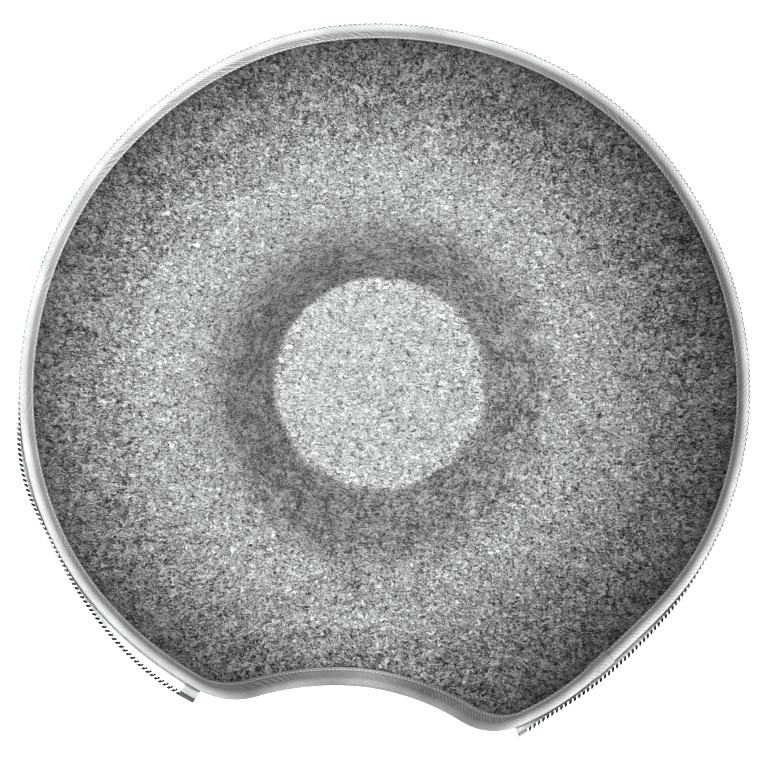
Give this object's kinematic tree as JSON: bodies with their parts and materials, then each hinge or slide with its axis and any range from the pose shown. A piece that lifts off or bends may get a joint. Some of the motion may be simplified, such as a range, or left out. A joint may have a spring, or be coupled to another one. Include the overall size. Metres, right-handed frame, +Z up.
{
  "type": "donut cat tunnel lower half",
  "caption": "Moulded grey felt half of a ring-shaped cat tunnel, open at its zip: flat-topped post, round trough, half-round entrance and a bound edge.",
  "frame": {"origin": "under the middle of the outline, on the plane the trough floor rests on", "axes": "+Z up, out of the open side; the entrance faces -Y; +X to the right seen from the entrance"},
  "size_m": [0.5995, 0.5723, 0.1286],
  "materials": {
    "felt": "needle-punched polyester felt, heat-moulded, salt-and-pepper grey",
    "binding": "light grey twill tape",
    "zip_tape": "light grey woven zip tape",
    "zip_coil": "white nylon coil"
  },
  "bodies": {
    "root": {"felt_shell": "felt", "edge_binding": "binding", "zip_tape": "zip_tape", "zip_coil": "zip_coil"}
  },
  "joints": []
}
